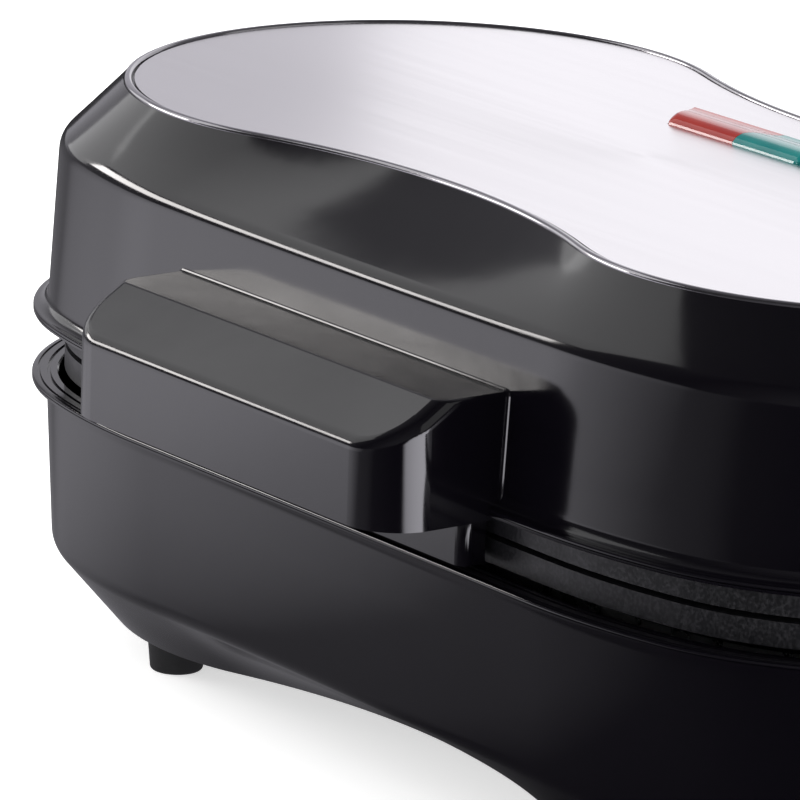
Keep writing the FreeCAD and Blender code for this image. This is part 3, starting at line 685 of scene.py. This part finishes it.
lens_body("power_lens", -1, RED)
lens_body("ready_lens", 1, GREEN)


# ---- stage, camera, light ------------------------------------------------------------------

CENTRE = Vector((0.0, 0.0, 0.07))
FLOOR_HALF = 8.0

# What gloss sees, each as (azimuth, elevation) of its middle and (degrees from it, grey).
# CARD and SIDE_CARD lie in the floor, BACK_GLOW in the world.
CARD = (-48.0, -7.0)
CARD_STOPS = ((180.0, 0.22), (130.0, 0.08), (100.0, 0.0), (80.0, 0.01), (60.0, 0.03),
              (50.0, 0.11), (36.0, 0.14), (25.0, 0.45), (15.0, 0.68), (8.0, 1.0))
CARD_LIGHT = 1.75
CARD_SQUEEZE = 2.2
SIDE_CARD = (93.0, -10.0)
SIDE_STOPS = ((180.0, 0.0), (31.0, 0.0), (26.0, 0.7), (0.0, 1.0))
SIDE_LIGHT = 6.0
SIDE_SQUEEZE = 3.0
BACK_GLOW = (-128.0, 4.0)
BACK_STOPS = ((180.0, 0.16), (130.0, 0.08), (105.0, 0.03), (80.0, 0.12), (55.0, 0.18),
              (35.0, 0.32), (20.0, 0.58), (0.0, 0.62))

# The photograph's view, fitted to its edges: where the camera stands and looks.
CAMERA_AT = (1.04594, -0.83263, 0.42296)
CAMERA_FROM = (53.2727, 14.9621)
CAMERA_ROLL = math.radians(1.8532)
CAMERA_LENS = 327.7


def direction(azimuth, elevation):
    """Unit vector from the object; azimuth 0 is in front of it, 90 at its right."""
    az, el = math.radians(azimuth), math.radians(elevation)
    return Vector((math.sin(az) * math.cos(el), -math.cos(az) * math.cos(el), math.sin(el)))


def spread(tree, vector, centre, stops, squeeze=1.0):
    """Grey by the angle between a direction and a centre; stops are (degrees, value).

    A squeeze above 1 makes the patch lower than it is wide.
    """
    aim = direction(*centre)
    aim.z *= squeeze
    flat = tree.nodes.new("ShaderNodeVectorMath")
    flat.operation = "MULTIPLY"
    flat.inputs[1].default_value = (1.0, 1.0, squeeze)
    tree.links.new(vector, flat.inputs[0])
    unit = tree.nodes.new("ShaderNodeVectorMath")
    unit.operation = "NORMALIZE"
    tree.links.new(flat.outputs["Vector"], unit.inputs[0])
    dot = tree.nodes.new("ShaderNodeVectorMath")
    dot.operation = "DOT_PRODUCT"
    dot.inputs[1].default_value = aim.normalized()
    tree.links.new(unit.outputs["Vector"], dot.inputs[0])
    half = tree.nodes.new("ShaderNodeMapRange")
    half.inputs["From Min"].default_value = -1.0
    tree.links.new(dot.outputs["Value"], half.inputs["Value"])
    ramp = tree.nodes.new("ShaderNodeValToRGB")
    marks = ramp.color_ramp.elements
    while len(marks) < len(stops):
        marks.new(0.5)
    for mark, (angle, value) in zip(marks, stops):
        mark.position = (math.cos(math.radians(angle)) + 1.0) / 2.0
        mark.color = (value * 0.98, value * 0.96, value * 1.04, 1.0)
    tree.links.new(half.outputs["Result"], ramp.inputs["Fac"])
    return ramp.outputs["Color"]


def stage():
    """Pale floor; gloss sees a bounce card at its front left and a small one at its right."""
    me = bpy.data.meshes.new("floor")
    s = FLOOR_HALF
    me.from_pydata([(-s, -s, 0), (s, -s, 0), (s, s, 0), (-s, s, 0)], [], [(0, 1, 2, 3)])
    ob = bpy.data.objects.new("floor", me)
    bpy.context.scene.collection.objects.link(ob)
    p = Paint("pale_floor")
    t = p.tree
    p.to("Base Color", p.tint(p.noise(3.0), (0.93, 0.93, 0.93), (0.95, 0.95, 0.95)))
    p.set(Roughness=0.9, Specular_IOR_Level=0.1,
          Emission_Color=(1, 1, 1, 1), Emission_Strength=0.6)
    away = t.nodes.new("ShaderNodeVectorMath")
    away.operation = "SUBTRACT"
    away.inputs[1].default_value = CENTRE
    t.links.new(p.place, away.inputs[0])
    path = t.nodes.new("ShaderNodeLightPath")
    cards = t.nodes.new("ShaderNodeAddShader")
    parts = ((CARD, CARD_STOPS, CARD_LIGHT, CARD_SQUEEZE),
             (SIDE_CARD, SIDE_STOPS, SIDE_LIGHT, SIDE_SQUEEZE))
    for slot, (centre, stops, strength, squeeze) in enumerate(parts):
        card = t.nodes.new("ShaderNodeEmission")
        card.inputs["Strength"].default_value = strength
        grey = spread(t, away.outputs["Vector"], centre, stops, squeeze)
        t.links.new(grey, card.inputs["Color"])
        t.links.new(card.outputs[0], cards.inputs[slot])
    mix = t.nodes.new("ShaderNodeMixShader")
    t.links.new(path.outputs["Is Glossy Ray"], mix.inputs["Fac"])
    t.links.new(p.shader.outputs[0], mix.inputs[1])
    t.links.new(cards.outputs[0], mix.inputs[2])
    t.links.new(mix.outputs[0], t.nodes["Material Output"].inputs["Surface"])
    ob.data.materials.append(p.mat)


def camera():
    """Long lens from the front right, a little above, rolled slightly."""
    view = -direction(*CAMERA_FROM)
    right = view.cross(Vector((0, 0, 1))).normalized()
    up = right.cross(view)
    r2 = right * math.cos(CAMERA_ROLL) + up * math.sin(CAMERA_ROLL)
    u2 = up * math.cos(CAMERA_ROLL) - right * math.sin(CAMERA_ROLL)
    cam = bpy.data.cameras.new("camera")
    cam.sensor_width = 36.0
    cam.lens = CAMERA_LENS
    cam.clip_end = 30.0
    ob = bpy.data.objects.new("camera", cam)
    bpy.context.scene.collection.objects.link(ob)
    ob.matrix_world = Matrix((
        (r2.x, u2.x, -view.x, CAMERA_AT[0]),
        (r2.y, u2.y, -view.y, CAMERA_AT[1]),
        (r2.z, u2.z, -view.z, CAMERA_AT[2]),
        (0, 0, 0, 1)))
    bpy.context.scene.camera = ob


def softbox(name, azimuth, elevation, distance, size, radiance, colour=(1.0, 1.0, 1.0)):
    """Rectangular light that faces the object, unseen by the camera."""
    where = CENTRE + distance * direction(azimuth, elevation)
    light = bpy.data.lights.new(name, "AREA")
    light.shape = "RECTANGLE"
    light.size, light.size_y = size
    light.energy = radiance * size[0] * size[1] * math.pi
    light.color = colour
    ob = bpy.data.objects.new(name, light)
    ob.location = where
    ob.rotation_euler = (CENTRE - where).to_track_quat("-Z", "Y").to_euler()
    ob.visible_camera = False
    bpy.context.scene.collection.objects.link(ob)


def world():
    """White studio; gloss sees it brightest at the rear left and darker all round."""
    w = bpy.data.worlds.new("studio")
    w.use_nodes = True
    t = w.node_tree
    t.nodes.clear()
    out = t.nodes.new("ShaderNodeOutputWorld")
    bg = t.nodes.new("ShaderNodeBackground")
    place = t.nodes.new("ShaderNodeTexCoord").outputs["Generated"]
    shade = spread(t, place, BACK_GLOW, BACK_STOPS)
    path = t.nodes.new("ShaderNodeLightPath")
    seen = t.nodes.new("ShaderNodeMix")
    seen.data_type = "RGBA"
    t.links.new(path.outputs["Is Glossy Ray"], seen.inputs["Factor"])
    seen.inputs["A"].default_value = (1.0, 1.0, 1.0, 1.0)
    t.links.new(shade, seen.inputs["B"])
    t.links.new(seen.outputs["Result"], bg.inputs["Color"])
    t.links.new(bg.outputs[0], out.inputs["Surface"])
    bpy.context.scene.world = w


bpy.context.scene.view_settings.view_transform = "Standard"
stage()
camera()
world()
softbox("left_strip", -62.0, 14.0, 2.0, (0.92, 0.30), 11.0, (1.0, 0.965, 0.95))
softbox("front_top", -64.0, 35.0, 1.6, (1.2, 0.78), 1.0)
softbox("left_soft", -86.0, 14.0, 2.0, (0.7, 0.7), 1.0)
softbox("right_fill", 115.0, 26.0, 2.2, (2.4, 1.5), 0.45)
softbox("back_panel", -146.0, 14.0, 0.75, (0.62, 0.5), 0.5)
